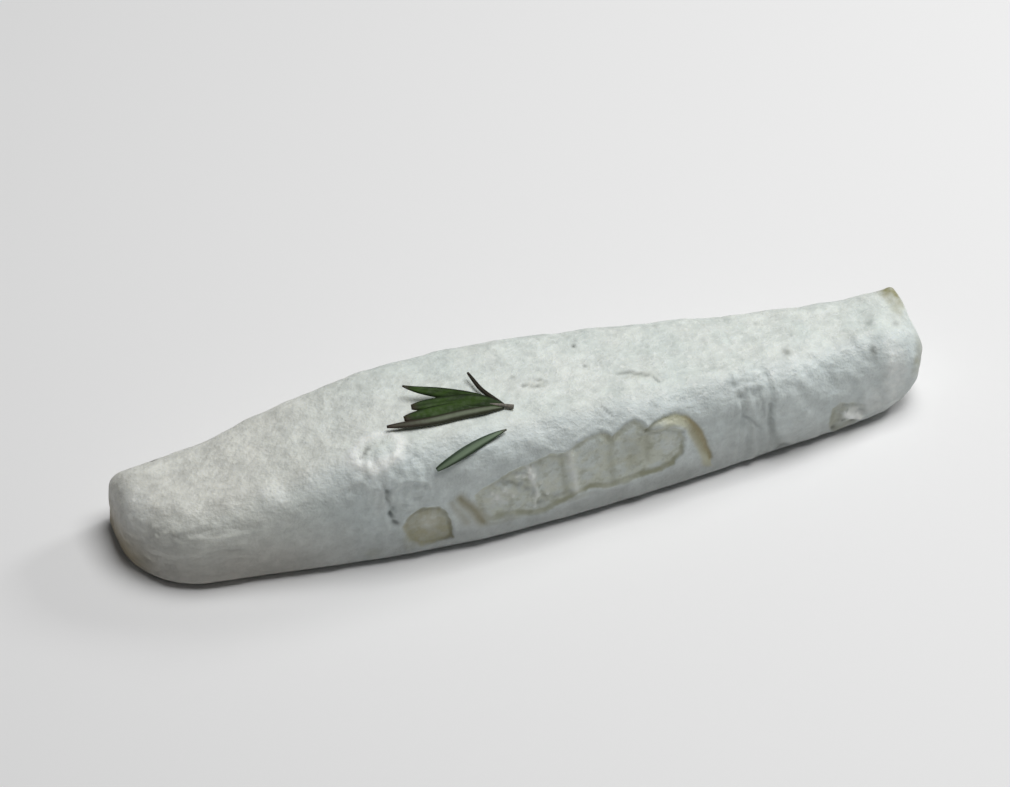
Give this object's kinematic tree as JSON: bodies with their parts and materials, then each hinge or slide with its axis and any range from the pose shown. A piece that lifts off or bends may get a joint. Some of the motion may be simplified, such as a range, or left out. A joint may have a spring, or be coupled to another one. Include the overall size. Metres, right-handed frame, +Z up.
{
  "type": "goat cheese",
  "caption": "Long soft goat cheese, thick in the middle and slim at both ends, with pressed recesses in its front wall and rosemary on top.",
  "frame": {"origin": "under the middle of the whole part's box, on the surface that the cheese rests on", "axes": "+X along the cheese towards its right end in the picture, +Y away from the wall with the pressed recesses, +Z up"},
  "size_m": [0.2718, 0.0556, 0.0478],
  "materials": {
    "curd": "moist matt rind, white with a grey-green cast",
    "rosemary": "dark green leaf with a low sheen"
  },
  "bodies": {
    "root": {"cheese": "curd", "rosemary_sprig": "rosemary", "rosemary_needle": "rosemary"}
  },
  "joints": []
}
